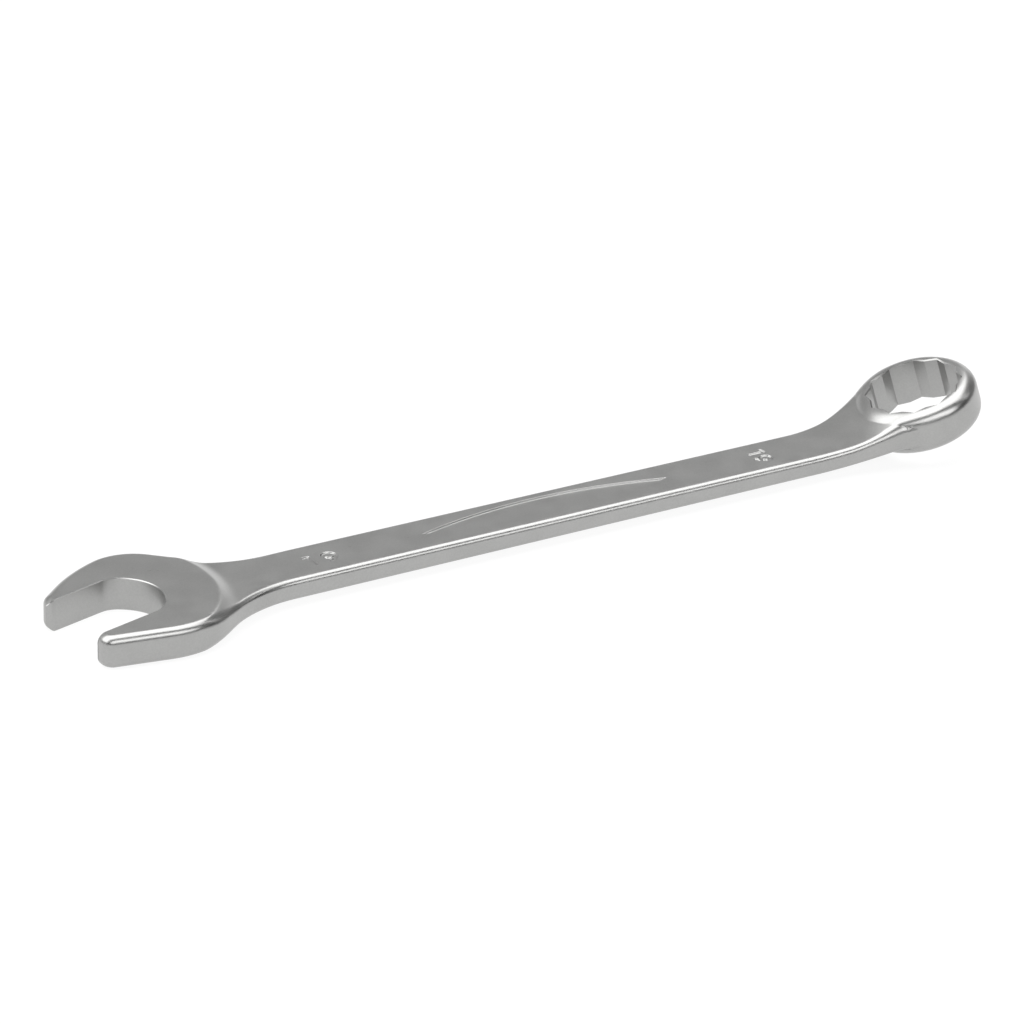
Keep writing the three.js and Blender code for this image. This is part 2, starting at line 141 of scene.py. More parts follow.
# Brightness of the studio's parts.
WHITE = (1, 1, 1, 1)
GREY_ROOM, DARK_GAP, HORIZON = 0.47, 0.03, 0.9
RIGHT_SHADE, RIGHT_GLOW = 0.22, 0.85
OVERHEAD_LAMP, FRONT_LAMP = 3.0, 2.8
FLOOR_GLOW, FLOOR_TONE, FLOOR_MOTTLE = 0.90, 0.10, 0.01
FLOOR_HALF = 15.0  # metres

# The camera, round the point it looks at.
CAMERA_TARGET = Vector((0.01717, 0.035465, -0.0130))
CAMERA_AZIMUTH, CAMERA_ELEVATION = math.radians(-28.85), math.radians(25.07)
CAMERA_DISTANCE = 3.3123
LENS, SENSOR = 528.0, 36.0


def unit(vectors):
    return vectors / np.linalg.norm(vectors, axis=-1, keepdims=True)


def arc(centre, radius, start, end):
    count = max(2, math.ceil(abs(end - start) / ARC_STEP))
    angles = np.linspace(start, end, count + 1)
    return np.column_stack([centre[0] + radius * np.cos(angles), centre[1] + radius * np.sin(angles)])


def rounded_path(corners):
    """Points along straight sides whose corners (x, y, radius) are rounded by tangent arcs."""
    places = np.array([corner[:2] for corner in corners], float)
    parts = [places[:1]]
    for before, corner, after, (_, _, radius) in zip(places, places[1:], places[2:], corners[1:]):
        back, ahead = unit(before - corner), unit(after - corner)
        half = math.acos(np.clip(back @ ahead, -1, 1)) / 2
        centre = corner + unit(back + ahead) * radius / math.sin(half)
        first = corner + back * radius / math.tan(half) - centre
        last = corner + ahead * radius / math.tan(half) - centre
        start = math.atan2(first[1], first[0])
        turn = math.atan2(first[0] * last[1] - first[1] * last[0], first @ last)
        parts.append(arc(centre, radius, start, start + turn))
    return np.concatenate([*parts, places[-1:]])


def in_jaw(back, across):
    """A point of the jaw's own frame, which runs back into the head and across to the far wall."""
    cos, sin = math.cos(JAW_ANGLE), math.sin(JAW_ANGLE)
    return back * cos - across * sin, back * sin + across * cos


def plan_edge(side, head_corners):
    """One edge of the forging seen from above, from the mouth to the ring's tip."""
    fillet_y = SHANK_WIDTH_AT_RING / 2 + RING_NECK_FILLET
    reach = RING_RADIUS + RING_NECK_FILLET
    fillet_x = RING_CENTRE - math.sqrt(reach**2 - fillet_y**2)
    meet = math.atan2(fillet_y, fillet_x - RING_CENTRE)
    shank = (SHANK_FROM, side * SHANK_WIDTH_AT_JAW / 2, 1)
    neck = arc((fillet_x, fillet_y), RING_NECK_FILLET, -math.pi / 2, meet - math.pi)
    ring = arc((RING_CENTRE, 0), RING_RADIUS, meet, 0)[1:]
    head = rounded_path([*head_corners, shank])
    return np.concatenate([head, neck * (1, side), ring * (1, side)])


def head_corner(side, back, past_wall, radius):
    """A rounded corner of the head, given in the jaw's own frame; side is 1 on the far half."""
    return (*in_jaw(back, side * (HALF_GAP + past_wall)), radius)


def neck_corner(side, along, inset, radius):
    return (along, side * (SHANK_WIDTH_AT_JAW / 2 - inset), radius)


def forging_outline():
    """The whole outline as one closed loop, anticlockwise, without its jaw and bore."""
    far = [
        head_corner(1, -FAR_TIP_REACH, FAR_TIP_WIDTH, FAR_TIP_RADIUS),
        head_corner(1, *FAR_CHEEK_FRONT),
        head_corner(1, *FAR_CHEEK_BACK),
        neck_corner(1, *FAR_NECK),
    ]
    near = [
        head_corner(-1, -NEAR_TIP_REACH, NEAR_TIP_WIDTH, NEAR_TIP_RADIUS),
        head_corner(-1, *NEAR_CHEEK),
        neck_corner(-1, *NEAR_NECK),
    ]
    mouth = (*np.add(far[0][:2], near[0][:2]) / 2, 0)
    far_edge, near_edge = plan_edge(1, [mouth, *far]), plan_edge(-1, [mouth, *near])
    return np.concatenate([near_edge[:-1], far_edge[:0:-1]])


def resample(loop, step):
    """The closed loop's points at even steps."""
    closed = np.vstack([loop, loop[:1]])
    lengths = np.linalg.norm(np.diff(closed, axis=0), axis=1)
    along = np.concatenate([[0], np.cumsum(lengths)])
    places = np.linspace(0, along[-1], round(along[-1] / step), endpoint=False)
    return np.column_stack([np.interp(places, along, closed[:, axis]) for axis in (0, 1)])


def tree_of(points):
    tree = KDTree(len(points))
    for index, (x, y) in enumerate(points):
        tree.insert((x, y, 0), index)
    tree.balance()
    return tree


class Depth:
    """How far plan points lie inside a smooth loop, and the direction in which that grows."""

    def __init__(self, loop):
        self.samples = resample(loop, DEPTH_STEP)
        tangent = np.roll(self.samples, -TANGENT_SPAN, 0) - np.roll(self.samples, TANGENT_SPAN, 0)
        self.inward = unit(tangent[:, ::-1] * (-1, 1))
        self.tree = tree_of(self.samples)

    def at(self, points):
        nearest = [self.tree.find((x, y, 0))[1] for x, y in points]
        inward = self.inward[nearest]
        return ((points - self.samples[nearest]) * inward).sum(1), inward


def mix(low, high, share):
    return low + (high - low) * share


def smooth_step(value, low, high):
    share = np.clip((value - low) / (high - low), 0, 1)
    return share * share * (3 - 2 * share)


def smooth_max(a, b, blend):
    near = np.maximum(blend - np.abs(a - b), 0) / blend
    return np.maximum(a, b) + near * near * blend / 4


def edge_drop(depth, radius):
    """How far a rounded edge has fallen at a depth inside it."""
    flat = np.maximum(radius - np.maximum(depth, 0), 0)
    return radius - np.sqrt(radius * radius - flat * flat)


def surface(points, depth, side):
    """The forging's surface above (side 1) or below (side -1) the middle plane."""
    x, y = points.T
    along = np.clip((x - SHANK_FROM) / (SHANK_TO - SHANK_FROM), 0, 1)
    shank = mix(SHANK_THICKNESS_AT_JAW, SHANK_THICKNESS_AT_RING, along) / 2
    past = np.maximum(np.hypot(x - FACE_ARC_X, y - FACE_ARC_Y) - FACE_ARC_RADIUS, 0)
    face = JAW_THICKNESS / 2 - FACE_RAMP * past**2 / (past + FACE_EASE)
    in_face = np.clip((face - shank) / (JAW_THICKNESS / 2 - shank), 0, 1)
    rim = mix(SHANK_EDGE_RADIUS, JAW_EDGE_RADIUS, in_face)
    body = smooth_max(shank, face, FACE_BLEND)
    if side > 0:
        before_bore = RING_CENTRE - BORE_FLAT - x
        climb = np.clip(1 - before_bore / NECK_RAMP_LENGTH, 0, 1) ** NECK_RAMP_POWER
        crest = np.maximum(1 - (y / NECK_CREST_HALF_WIDTH) ** 2, 0) * (x < RING_CENTRE)
        body = body + (RING_HEIGHT / 2 - body) * climb * crest
        widened = smooth_step(x, RING_CENTRE - NECK_RIM_FROM, RING_CENTRE - NECK_RIM_TO)
        rim = mix(rim, NECK_RIM_RADIUS, widened)
    ring_depth = RING_RADIUS - np.hypot(x - RING_CENTRE, y)
    ring_rim = RING_TOP_RADIUS if side > 0 else RING_BOTTOM_RADIUS
    ring = RING_HEIGHT / 2 - edge_drop(ring_depth, ring_rim) + np.minimum(ring_depth, 0) * RING_SIDE_FALL
    cove = mix(RING_EDGE_COVE, RING_COVE, smooth_step(depth, RING_COVE_FROM, RING_COVE_TO))
    return smooth_max(body - edge_drop(depth, rim), ring, cove)


def figure_one():
    top = (DIGIT_HEIGHT - DIGIT_STROKE) / 2
    return [np.array([(ONE_FLAG, top - ONE_FLAG_DROP), (ONE_STEM, top), (ONE_STEM, -top)])]


def figure_nine():
    bowl = DIGIT_BOWL - DIGIT_STROKE / 2
    top = (DIGIT_HEIGHT - DIGIT_STROKE) / 2
    sweep = 2 * top - bowl
    low = (bowl - sweep, top - bowl)
    ring = arc((0, top - bowl), bowl, 0, 2 * math.pi)[::BOWL_STRIDE]
    tail = arc(low, sweep, 0, -DIGIT_TAIL)[::TAIL_STRIDE]
    return [ring, tail]


def distance_to(points, line):
    least = np.full(len(points), np.inf)
    for start, end in zip(line, line[1:]):
        side = end - start
        along = np.clip((points - start) @ side / (side @ side), 0, 1)
        least = np.minimum(least, np.linalg.norm(points - start - along[:, None] * side, axis=1))
    return least


def marks():
    """The lines of the stamped figures in the plan, each end's as one list."""
    found = []
    for mark in (JAW_MARK, RING_MARK):
        cos, sin = math.cos(mark["turn"]), math.sin(mark["turn"])
        spin = np.array([[cos, sin], [-sin, cos]])
        half = mark["pitch"] / 2
        lines = [line * mark["size"] - (half, 0) for line in figure_one()]
        lines += [line * mark["size"] + (half, 0) for line in figure_nine()]
        found.append([line @ spin + (mark["x"], mark["y"]) for line in lines])
    return found


MARKS = marks()


def panel_edge(points):
    """Distance of plan points from the panel's edge, below zero inside it."""
    x, y = points.T
    return np.hypot(x - PANEL_MIDDLE, np.abs(y) + PANEL_RADIUS - PANEL_WIDTH / 2) - PANEL_RADIUS


def recess(points):
    """How deep the marks and the panel are cut at plan points."""
    depth = PANEL_DEPTH * (1 - smooth_step(panel_edge(points), -PANEL_WALL, 0))
    for lines in MARKS:
        near = np.abs(points[:, 0] - lines[0][:, 0].mean()) < 2 * DIGIT_HEIGHT
        gap = np.min([distance_to(points[near], line) for line in lines], axis=0)
        edge = DIGIT_STROKE / 2
        depth[near] += DIGIT_DEPTH * (1 - smooth_step(gap, edge - DIGIT_WALL / 2, edge + DIGIT_WALL / 2))
    return depth


def skin(points, depth, side):
    height = surface(points, depth, side)
    return height - recess(points) if side > 0 else height


def skin_normals(points, depth, inward, side):
    """The surface's unit normals, from its slopes along x and y."""
    slopes = []
    for axis in (0, 1):
        shift = np.zeros(2)
        shift[axis] = SLOPE_STEP
        more = skin(points + shift, depth + inward @ shift, side)
        less = skin(points - shift, depth - inward @ shift, side)
        slopes.append((more - less) / (2 * SLOPE_STEP))
    return unit(np.column_stack([-slopes[0], -slopes[1], np.ones(len(points))])) * (1, 1, side)


def slot_loop(margin):
    """The slot between the jaws, widened by a margin, from past the mouth to the throat."""
    radius, fillet = THROAT_RADIUS + margin, THROAT_FILLET + margin
    centre = np.array((-THROAT_SET_BACK, THROAT_SET_ACROSS))
    parts = []
    turns = []
    for side, reach in ((-1, NEAR_TIP_REACH), (1, FAR_TIP_REACH)):
        front = -reach - LIP_PAST_TIP
        nose = (front + LIP_RADIUS, side * (HALF_GAP + LIP_RADIUS))
        lip = arc(nose, LIP_RADIUS - margin, -side * math.pi, -side * math.pi / 2)
        rise = side * (HALF_GAP - THROAT_FILLET) - centre[1]
        run = math.sqrt((THROAT_RADIUS - THROAT_FILLET) ** 2 - rise**2)
        turns.append(math.atan2(rise, run))
        bend = arc(centre + (run, rise), fillet, side * math.pi / 2, turns[-1])
        straight = np.linspace(lip[-1], bend[0], round((bend[0, 0] - lip[-1, 0]) / EDGE_STEP))[1:-1]
        past_mouth = (front - 2 * LIP_RADIUS, lip[0, 1])
        edge = np.vstack([past_mouth, lip[::LIP_STRIDE], straight, bend[::BEND_STRIDE]])
        parts.append(edge if side < 0 else edge[::-1])
    throat = arc(centre, radius, *turns)[THROAT_STRIDE:-THROAT_STRIDE:THROAT_STRIDE]
    loop = np.vstack([parts[0], throat, parts[1]])
    return np.column_stack(in_jaw(loop[:, 0], loop[:, 1]))


def bore_radius(angle):
    """The twelve-point bore's radius: two hexagons turned by thirty degrees, with blunt corners."""
    half_step = math.radians(15)
    from_corner = half_step - np.abs(angle % (2 * half_step) - half_step)
    corner = np.array((BORE_CORNER, 0))
    tooth = BORE_TOOTH * np.array((math.cos(half_step), math.sin(half_step)))
    side = tooth - corner
    reach = corner[0] * side[1] - corner[1] * side[0]
    return reach / (np.cos(from_corner) * side[1] - np.sin(from_corner) * side[0])


def round_ring(radius, angle):
    return np.column_stack([RING_CENTRE + radius * np.cos(angle), radius * np.sin(angle)])


def bore_loop():
    """The bore's edge where it opens on a face, past its chamfer."""
    angle = np.radians(np.arange(0, 360, RING_STEP))
    return round_ring(bore_radius(angle) + RING_CHAMFER, angle)


def inside(points, loop):
    """Which points a closed loop holds, by counting the edges to their right."""
    found = np.zeros(len(points), bool)
    x, y = points.T
    for (ax, ay), (bx, by) in zip(loop, np.roll(loop, -1, 0)):
        if ay != by:
            crosses = (ay > y) != (by > y)
            found ^= crosses & (x < ax + (bx - ax) * (y - ay) / (by - ay))
    return found


def apart(points, others, gap):
    """The points at least gap from every one of the others."""
    tree = tree_of(others)
    far = [tree.find((x, y, 0))[2] > gap for x, y in points]
    return points[np.array(far, bool)]


def grid(low, high, step):
    x, y = np.meshgrid(np.arange(low[0], high[0], step), np.arange(low[1], high[1], step))
    return np.column_stack([x.ravel(), y.ravel()])


def rim_shares():
    """Depths of the rows over a rounded rim, as shares of its radius."""
    return 1 - np.cos(np.linspace(0, math.pi / 2, RIM_STEPS + 1)[1:])


def rim_rows(edge, depth_of):
    """Rows of points inside the outline, close together where its rim turns."""
    _, inward = depth_of.at(edge)
    near_ring = edge[:, 0] > RING_CENTRE - RING_RADIUS
    radius = np.where(near_ring, RING_TOP_RADIUS, JAW_EDGE_RADIUS)
    rows = np.vstack([edge + inward * radius[:, None] * share for share in rim_shares()])
    wanted = np.repeat(rim_shares(), len(edge)) * np.tile(radius, RIM_STEPS)
    depth, _ = depth_of.at(rows)
    return rows[depth > wanted - 0.01]


def ring_rows():
    """Rows along the ring's own rim where it crosses the neck."""
    angle = np.radians(np.arange(90, 270, RING_STEP))
    beyond = [RING_RADIUS + extra for extra in BESIDE_RING]
    rim = [RING_RADIUS - RING_BOTTOM_RADIUS * share for share in rim_shares()]
    return np.vstack([round_ring(radius, angle) for radius in beyond + rim])


def mark_points():
    """A fine grid over the stamped figures, and rows along the panel's edge."""
    reach = DIGIT_HEIGHT / 2 + 2.3
    fine = []
    for mark in (JAW_MARK, RING_MARK):
        centre = np.array((mark["x"], mark["y"]))
        fine.append(grid(centre - reach, centre + reach, DIGIT_GRID))
    fine = np.vstack(fine)
    lines = [line for found in MARKS for line in found]
    close = np.min([distance_to(fine, line) for line in lines], axis=0) < DIGIT_STROKE / 2 + 2 * DIGIT_GRID
    along = np.arange(-PANEL_LENGTH / 2, PANEL_LENGTH / 2, PANEL_STEP)
    rows = []
    for offset in np.linspace(-PANEL_WALL, 0, PANEL_ROWS):
        across = np.sqrt((PANEL_RADIUS + offset) ** 2 - along**2) - PANEL_RADIUS + PANEL_WIDTH / 2
        for side in (1, -1):
            row = np.column_stack([PANEL_MIDDLE + along, side * across])
            rows.append(row[across > PANEL_TIP])
    return np.vstack([fine[close], *rows])


def plan():
    """The triangulated plan: its points, and triangles that turn anticlockwise."""
    outline = forging_outline()
    depth_of = Depth(outline)
    edge = resample(outline, EDGE_STEP)
    slot, bore = slot_loop(JAW_CHAMFER), bore_loop()
    slot_margin = slot_loop(JAW_CHAMFER + OPENING_MARGIN)
    bore_margin = (bore - (RING_CENTRE, 0)) * BORE_MARGIN + (RING_CENTRE, 0)

    def open_ground(points):
        """The points on the metal, clear of its edge and of both openings."""
        clear = ~inside(points, slot_margin) & ~inside(points, bore_margin)
        depth, _ = depth_of.at(points)
        return points[clear & (depth > EDGE_MARGIN)]

    points = open_ground(rim_rows(edge, depth_of))
    points = np.vstack([points, apart(open_ground(ring_rows()), points, OPENING_MARGIN)])
    points = np.vstack([points, mark_points()])
    low, high = edge.min(0), edge.max(0)
    spreads = [
        ((HEAD_GRID_FROM, low[1]), (HEAD_GRID_TO, high[1]), FINE_GRID),
        ((RING_CENTRE - RING_GRID_BEFORE, low[1]), high, FINE_GRID),
        (low, high, COARSE_GRID),
    ]
    for *box, step in spreads:
        spread = open_ground(grid(*box, step))
        points = np.vstack([points, apart(spread, points, step * GRID_CLEARANCE)])

    fixed = np.vstack([edge, slot, bore, points])
    loops, start = [], 0
    for loop in (edge, slot, bore):
        index = np.arange(start, start + len(loop))
        loops += np.column_stack([index, np.roll(index, -1)]).tolist()
        start += len(loop)
    found = delaunay_2d_cdt([Vector(p) for p in fixed.tolist()], loops, [], 0, 1e-6, False)
    places = np.array([tuple(p) for p in found[0]])
    triangles = np.array(found[2])
    middle = places[triangles].mean(1)
    kept = inside(middle, edge) & ~inside(middle, slot) & ~inside(middle, bore)
    used, triangles = np.unique(triangles[kept], return_inverse=True)
    return places[used], triangles.reshape(-1, 3), depth_of


def bend(places, normals):
    """Bends the flat wrench up to the ring: straight, then an arc of the crank, then straight."""
    x, y, z = places.T
    length = CRANK_RADIUS * RING_TILT
    bend_from = RING_CENTRE - CRANK_TO_RING - length
    angle = np.clip((x - bend_from) / CRANK_RADIUS, 0, RING_TILT)
    past = np.maximum(x - bend_from - length, 0)
    cos, sin = np.cos(angle), np.sin(angle)
    middle_x = np.minimum(x, bend_from) + CRANK_RADIUS * sin + past * cos
    middle_z = CRANK_RADIUS * (1 - cos) + past * sin
    bent = np.column_stack([middle_x - z * sin, y, middle_z + z * cos])
    nx, ny, nz = normals.T
    return bent, np.column_stack([nx * cos - nz * sin, ny, nx * sin + nz * cos])


class Shell:
    """Collects places, faces and a normal for each corner of each face."""

    def __init__(self):
        self.places, self.normals, self.faces, self.rims = [], [], [], []
        self.count = 0

    def add(self, places, normals, faces, rims):
        self.places.append(places)
        self.normals.append(normals)
        self.rims.append(rims)
        self.faces += (np.asarray(faces) + self.count).tolist()
        self.count += len(places)


def rims_of(triangles):
    """The directed edges that only one triangle has."""
    sides = np.vstack([triangles[:, [0, 1]], triangles[:, [1, 2]], triangles[:, [2, 0]]])
    known = {tuple(side) for side in sides.tolist()}
    return np.array([side for side in known if side[::-1] not in known])


def raised(points, height):
    return np.column_stack([points, height])


def add_wall(shell, ends, rows, normals):
    """Quads between rows of places, for edges given as pairs of indices into the rows."""
    count = len(rows[0])
    for upper, lower, normal in zip(rows, rows[1:], normals):
        faces = np.column_stack([ends[:, 1], ends[:, 0], ends[:, 0] + count, ends[:, 1] + count])
        drop = np.linalg.norm(upper - lower, axis=1)
        real = (drop[ends] > LEAST_SIDE).any(1)
        shell.add(np.vstack([upper, lower]), np.vstack([normal, normal]), faces[real], np.zeros(2 * count))


def add_flats(shell, ends, rows, outward):
    """The bore's chamfers and its flats, each flat with its own normal."""
    for level, (upper, lower) in enumerate(zip(rows, rows[1:])):
        for a, b in ends.tolist():
            quad = np.array([upper[b], upper[a], lower[a], lower[b]])
            if np.abs(quad[:2] - quad[:1:-1]).max() <= LEAST_SIDE:
                continue
            if level == 1:
                along = unit(upper[b] - upper[a])
                normals = np.tile(np.cross(along, UP), (4, 1))
            else:
                lift = UP if level == 0 else -UP
                normals = unit(-outward[[b, a, a, b]] + lift)
            shell.add(quad, normals, [[0, 1, 2, 3]], np.zeros(4))


def add_skins(shell, points, triangles, depth, inward):
    """The upper and lower surface; gives the height of each at every point of the plan."""
    rim = np.clip(1 - depth / JAW_EDGE_RADIUS, 0, 1)
    on_edge = depth < ON_EDGE
    heights = []
    for side in (1, -1):
        height = skin(points, depth, side) * side
        normals = skin_normals(points, np.maximum(depth, SLOPE_STEP * 1.5), inward, side)
        normals[on_edge] = np.column_stack([-inward[on_edge], np.zeros(on_edge.sum())])
        shell.add(raised(points, height), normals, triangles[:, ::side], rim)
        heights.append(height)
    return heights


def add_slot(shell, points, slot, edges, outer, out, top, bottom):
    """The jaw's walls with their chamfers, and the strips that close the tips beside them."""
    _, inward = slot.at(points)
    across = np.column_stack([inward, np.zeros(len(points))])
    wall = points + inward * JAW_CHAMFER
    rows = [
        raised(points, top),
        raised(wall, top - JAW_CHAMFER),
        raised(wall, bottom + JAW_CHAMFER),
        raised(points, bottom),
    ]
    add_wall(shell, edges, rows, [unit(across + UP), across, unit(across - UP)])
    for corner in np.intersect1d(outer, edges):
        strip = np.array([row[corner] for row in rows])
        faces = [[0, 1, 2, 3]] if corner in outer[:, 0] else [[3, 2, 1, 0]]
        shell.add(strip, np.tile(out[corner], (4, 1)), faces, np.zeros(4))


def add_bore(shell, points, edges, top, bottom):
    """The ring's bore, from its mouth on one face to its mouth on the other."""
    from_centre = points - (RING_CENTRE, 0)
    angle = np.arctan2(from_centre[:, 1], from_centre[:, 0])
    outward = np.column_stack([np.cos(angle), np.sin(angle), np.zeros(len(points))])
    wall = round_ring(bore_radius(angle), angle)
    cut = np.linalg.norm(points - wall, axis=1)
    rows = [
        raised(points, top),
        raised(wall, top - cut),
        raised(wall, bottom + cut),
        raised(points, bottom),
    ]
    add_flats(shell, edges, rows, outward)


def wrench_shell():
    """The whole wrench before its crank is bent."""
    points, triangles, depth_of = plan()
    depth, inward = depth_of.at(points)
    depth = np.maximum(depth, 0)
    shell = Shell()
    top, bottom = add_skins(shell, points, triangles, depth, inward)

    edges = rims_of(triangles)
    middle = points[edges].mean(1)
    in_bore = np.hypot(middle[:, 0] - RING_CENTRE, middle[:, 1]) < RING_RADIUS - 1
    slot = Depth(slot_loop(JAW_CHAMFER))
    in_slot = np.abs(slot.at(middle)[0]) < ON_SLOT
    outer = edges[~in_bore & ~in_slot]
    out = np.column_stack([-inward, np.zeros(len(points))])
    add_wall(shell, outer, [raised(points, top), raised(points, bottom)], [out])
    add_slot(shell, points, slot, edges[in_slot], outer, out, top, bottom)
    add_bore(shell, points, edges[in_bore], top, bottom)
    return shell


def wrench_piece(low, high):
    """The fine wrench as one mesh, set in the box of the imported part."""
    shell = wrench_shell()
    places, normals = np.vstack(shell.places), np.vstack(shell.normals)
    places, normals = bend(places, normals)
    mine_low, mine_high = places.min(0), places.max(0)
    middle = (np.array(low) + np.array(high)) / 2
    shift = middle - (mine_low + mine_high) / 2 * MM
    shift[2] = low[2] - mine_low[2] * MM
    places = places * MM + shift

    grid_places = np.round(places / (WELD * MM)).astype(np.int64)
    joined, index = np.unique(grid_places, axis=0, return_inverse=True)
    index = index.ravel()
    firsts = np.zeros(len(joined), int)
    firsts[index] = np.arange(len(places))
    faces, corner_normals = [], []
    for corners in shell.faces:
        face = index[corners].tolist()
        if len(set(face)) == len(face):
            faces.append(face)
            corner_normals += [normals[corner] for corner in corners]

    mesh = bpy.data.meshes.new("wrench")
    mesh.from_pydata(places[firsts].tolist(), [], faces)
    mesh.polygons.foreach_set("use_smooth", np.ones(len(mesh.polygons), bool))
    mesh.normals_split_custom_set(corner_normals)
    rim = mesh.attributes.new("rim", "FLOAT", "POINT")
    rim.data.foreach_set("value", np.concatenate(shell.rims)[firsts].astype(np.float32))
    piece = bpy.data.objects.new("wrench", mesh)
    bpy.context.scene.collection.objects.link(piece)
    return piece


class Nodes:
    """Short calls for making and joining shader nodes."""

    def __init__(self, tree):
        self.tree = tree
        tree.nodes.clear()

    def add(self, kind, inputs=(), **settings):
        node = self.tree.nodes.new(kind)
        for name, value in settings.items():
            setattr(node, name, value)
        for key, value in dict(inputs).items():
            if isinstance(value, bpy.types.NodeSocket):
                self.tree.links.new(value, node.inputs[key])
            else:
                node.inputs[key].default_value = value
        return node

    def math(self, operation, *values):
        return self.add("ShaderNodeMath", enumerate(values), operation=operation).outputs[0]

    def grey(self, tone):
        """A colour with the same tone in all three channels."""
        inputs = {"Red": tone, "Green": tone, "Blue": tone}
        return self.add("ShaderNodeCombineColor", inputs).outputs["Color"]

    def noise(self, vector, scale, detail=2.0, roughness=0.5):
        inputs = {"Vector": vector, "Scale": scale, "Detail": detail, "Roughness": roughness}
        return self.add("ShaderNodeTexNoise", inputs).outputs["Fac"]

    def ramp(self, value, low, high, start, end):
        """The value's stretch from low to high, drawn out smoothly from start to end."""
        inputs = {"Value": value, "From Min": low, "From Max": high, "To Min": start, "To Max": end}
        node = self.add("ShaderNodeMapRange", inputs, interpolation_type="SMOOTHSTEP", clamp=True)
        return node.outputs["Result"]

    def stretched(self, vector, scale):
        return self.add("ShaderNodeMapping", {"Vector": vector, "Scale": scale}).outputs["Vector"]


def chrome():
    """Satin chrome: a long fine grain, soft clouds and specks, and rims rubbed bright."""
    material = bpy.data.materials.new("satin_chrome")
    material.use_nodes = True
    nodes = Nodes(material.node_tree)
    place = nodes.add("ShaderNodeTexCoord").outputs["Object"]
    rim = nodes.add("ShaderNodeAttribute", attribute_name="rim").outputs["Fac"]
    polish = nodes.ramp(rim, 0.05, 0.45, 0.0, 1.0)
    grain = nodes.noise(nodes.stretched(place, (260, 5200, 5200)), 1.0, 3.0, 0.6)
    cloud = nodes.noise(place, 160.0, 3.0, 0.55)
    speck = nodes.noise(place, 2600.0, 2.0, 0.6)

    clouded, grained = nodes.ramp(cloud, 0.3, 0.7, 0.29, 0.32), nodes.ramp(grain, 0.2, 0.8, -0.02, 0.02)
    satin = nodes.math("ADD", clouded, grained)
    roughness = nodes.math("ADD", nodes.math("MULTIPLY", polish, -0.24), satin)
    base_tone, specks = nodes.ramp(cloud, 0.3, 0.7, 0.385, 0.405), nodes.ramp(speck, 0.3, 0.7, -0.014, 0.014)
    tone = nodes.math("ADD", base_tone, specks)
    warm_tone = nodes.math("MULTIPLY", tone, 0.985)
    colour = nodes.add("ShaderNodeCombineColor", {"Red": tone, "Green": tone, "Blue": warm_tone})

    relief = nodes.math("ADD", nodes.math("MULTIPLY", grain, 0.5), nodes.math("MULTIPLY", speck, 0.8))
    strength = nodes.math("MULTIPLY_ADD", polish, -0.05, 0.07)
    bump = nodes.add("ShaderNodeBump", {"Strength": strength, "Distance": 0.02 * MM, "Height": relief})
    shader = nodes.add("ShaderNodeBsdfPrincipled", {
        "Base Color": colour.outputs["Color"],
        "Metallic": 1.0,
        "Roughness": roughness,
        "Normal": bump.outputs["Normal"],
    })
    nodes.add("ShaderNodeOutputMaterial", {"Surface": shader.outputs["BSDF"]})
    return material


def floor_piece():
    """A pale floor that glows a little, so that it stays white under the wrench."""
    corners = [(x * FLOOR_HALF, y * FLOOR_HALF, 0) for x, y in ((-1, -1), (1, -1), (1, 1), (-1, 1))]
    mesh = bpy.data.meshes.new("floor")
    mesh.from_pydata(corners, [], [(0, 1, 2, 3)])
    material = bpy.data.materials.new("pale_floor")
    material.use_nodes = True
    nodes = Nodes(material.node_tree)
    place = nodes.add("ShaderNodeTexCoord").outputs["Object"]
    mottle = nodes.noise(place, 3.0)
    tone = nodes.ramp(mottle, 0.3, 0.7, FLOOR_TONE - FLOOR_MOTTLE, FLOOR_TONE + FLOOR_MOTTLE)
    shader = nodes.add("ShaderNodeBsdfPrincipled", {
        "Base Color": nodes.grey(tone),
        "Roughness": 0.9,
        "Specular IOR Level": 0.1,
        "Emission Color": WHITE,
        "Emission Strength": FLOOR_GLOW,
    })
    nodes.add("ShaderNodeOutputMaterial", {"Surface": shader.outputs["BSDF"]})
    mesh.materials.append(material)
    floor = bpy.data.objects.new("floor", mesh)
    bpy.context.scene.collection.objects.link(floor)
    return floor


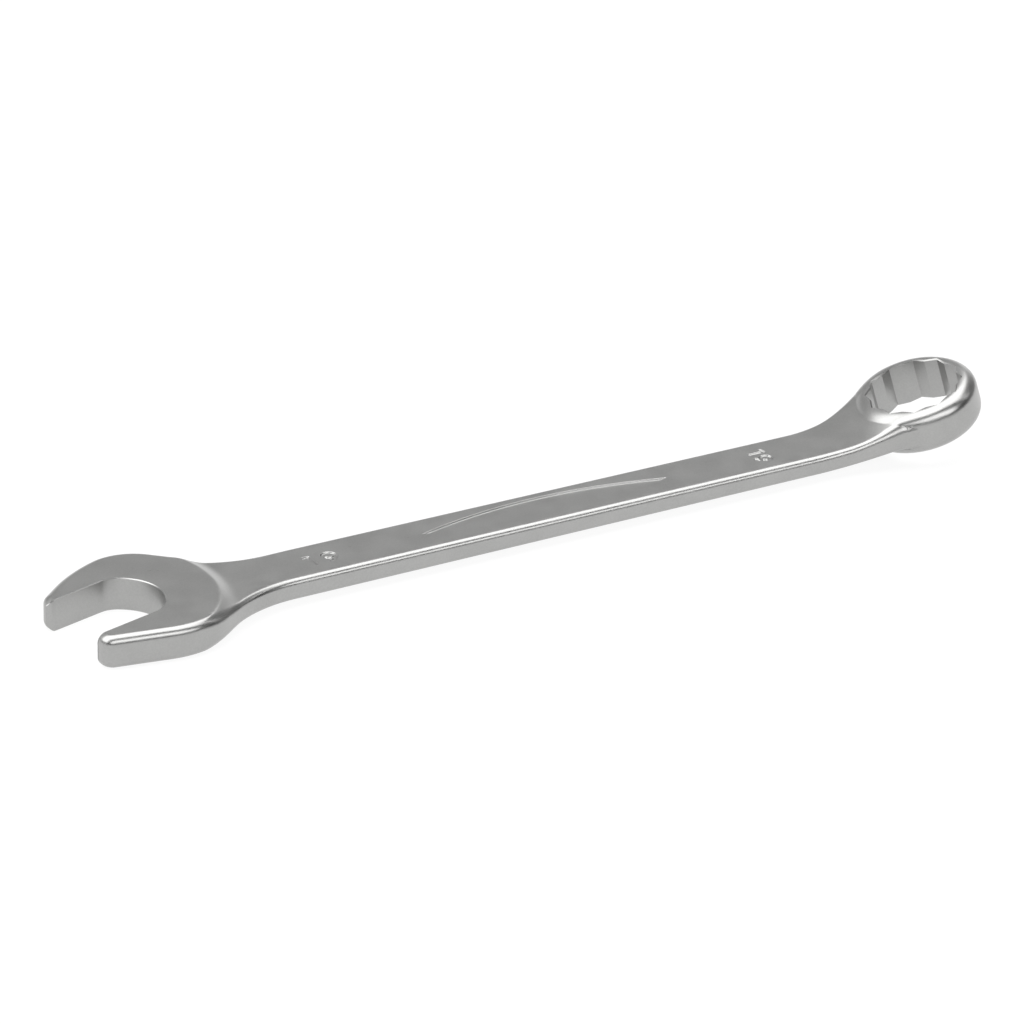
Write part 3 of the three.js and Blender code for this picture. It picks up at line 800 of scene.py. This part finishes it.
def studio():
    """A grey room: two long white lamps with a dark gap between, a bright horizon, a shaded right.

    Each part is a share from 0 to 1 of the directions it fills, by how far they point to the
    right, to the back and up. The level of light starts as the grey room's and moves to each
    part's own by its share.
    """
    world = bpy.data.worlds.new("studio")
    world.use_nodes = True
    bpy.context.scene.world = world
    nodes = Nodes(world.node_tree)
    direction = nodes.add("ShaderNodeTexCoord").outputs["Generated"]
    parts = nodes.add("ShaderNodeSeparateXYZ", {"Vector": direction})
    right, back, up = parts.outputs["X"], parts.outputs["Y"], parts.outputs["Z"]

    def rise(value, low, high):
        return nodes.ramp(value, low, high, 0.0, 1.0)

    def fall(value, low, high):
        return nodes.ramp(value, low, high, 1.0, 0.0)

    def both(a, b):
        return nodes.math("MULTIPLY", a, b)

    def without(share, hole):
        return both(share, nodes.math("SUBTRACT", 1.0, hole))

    def band(start, end, edge):
        """One from start to end of the way from front to back, with soft edges."""
        return both(rise(back, start - edge, start + edge), fall(back, end - edge, end + edge))

    def lit(level, share, light):
        return nodes.math("MULTIPLY_ADD", share, light - GREY_ROOM, level)

    to_right = rise(right, 0.54, 0.66)
    behind_right = both(to_right, rise(back, -0.24, -0.10))
    overhead = without(both(band(-0.27, 0.60, 0.04), rise(up, 0.30, 0.45)), behind_right)
    front = without(both(band(-0.92, -0.64, 0.03), rise(up, 0.27, 0.34)), to_right)
    low_front = both(fall(back, -0.62, -0.55), fall(up, 0.26, 0.32))
    dark = nodes.math("MAXIMUM", band(-0.63, -0.27, 0.02), low_front)
    horizon = both(rise(back, 0.55, 0.68), fall(up, 0.12, 0.30))

    shade = nodes.ramp(back, 0.30, 0.75, RIGHT_SHADE, RIGHT_GLOW)
    shade = nodes.math("SUBTRACT", shade, GREY_ROOM)
    level = nodes.math("MULTIPLY_ADD", to_right, shade, GREY_ROOM)
    for share, light in (
        (horizon, HORIZON),
        (dark, DARK_GAP),
        (overhead, OVERHEAD_LAMP),
        (front, FRONT_LAMP),
    ):
        level = lit(level, share, light)
    level = nodes.math("MAXIMUM", level, DARK_GAP)
    background = nodes.add("ShaderNodeBackground", {"Color": WHITE, "Strength": level})
    nodes.add("ShaderNodeOutputWorld", {"Surface": background.outputs["Background"]})


def add_camera():
    """The camera, far off with a long lens, turned round the point it looks at."""
    data = bpy.data.cameras.new("camera")
    data.lens, data.sensor_width = LENS, SENSOR
    data.clip_start, data.clip_end = 0.1, 60
    camera = bpy.data.objects.new("camera", data)
    level = math.cos(CAMERA_ELEVATION)
    back = Vector((
        math.sin(CAMERA_AZIMUTH) * level,
        -math.cos(CAMERA_AZIMUTH) * level,
        math.sin(CAMERA_ELEVATION),
    ))
    camera.location = CAMERA_TARGET + back * CAMERA_DISTANCE
    camera.rotation_euler = back.to_track_quat("Z", "Y").to_euler()
    bpy.context.scene.collection.objects.link(camera)
    bpy.context.scene.camera = camera


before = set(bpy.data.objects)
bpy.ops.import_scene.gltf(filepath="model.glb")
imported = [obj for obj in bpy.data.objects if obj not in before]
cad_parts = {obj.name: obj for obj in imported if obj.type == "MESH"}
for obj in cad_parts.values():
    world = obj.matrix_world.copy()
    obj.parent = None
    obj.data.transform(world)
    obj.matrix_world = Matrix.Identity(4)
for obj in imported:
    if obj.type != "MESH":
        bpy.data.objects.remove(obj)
cad_low, cad_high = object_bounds()
add_camera()
studio()
floor_piece()
wrench = wrench_piece(cad_low, cad_high)
wrench.data.materials.append(chrome())
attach(wrench, "root")
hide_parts("wrench_body")
bpy.context.scene.view_settings.view_transform = "Standard"
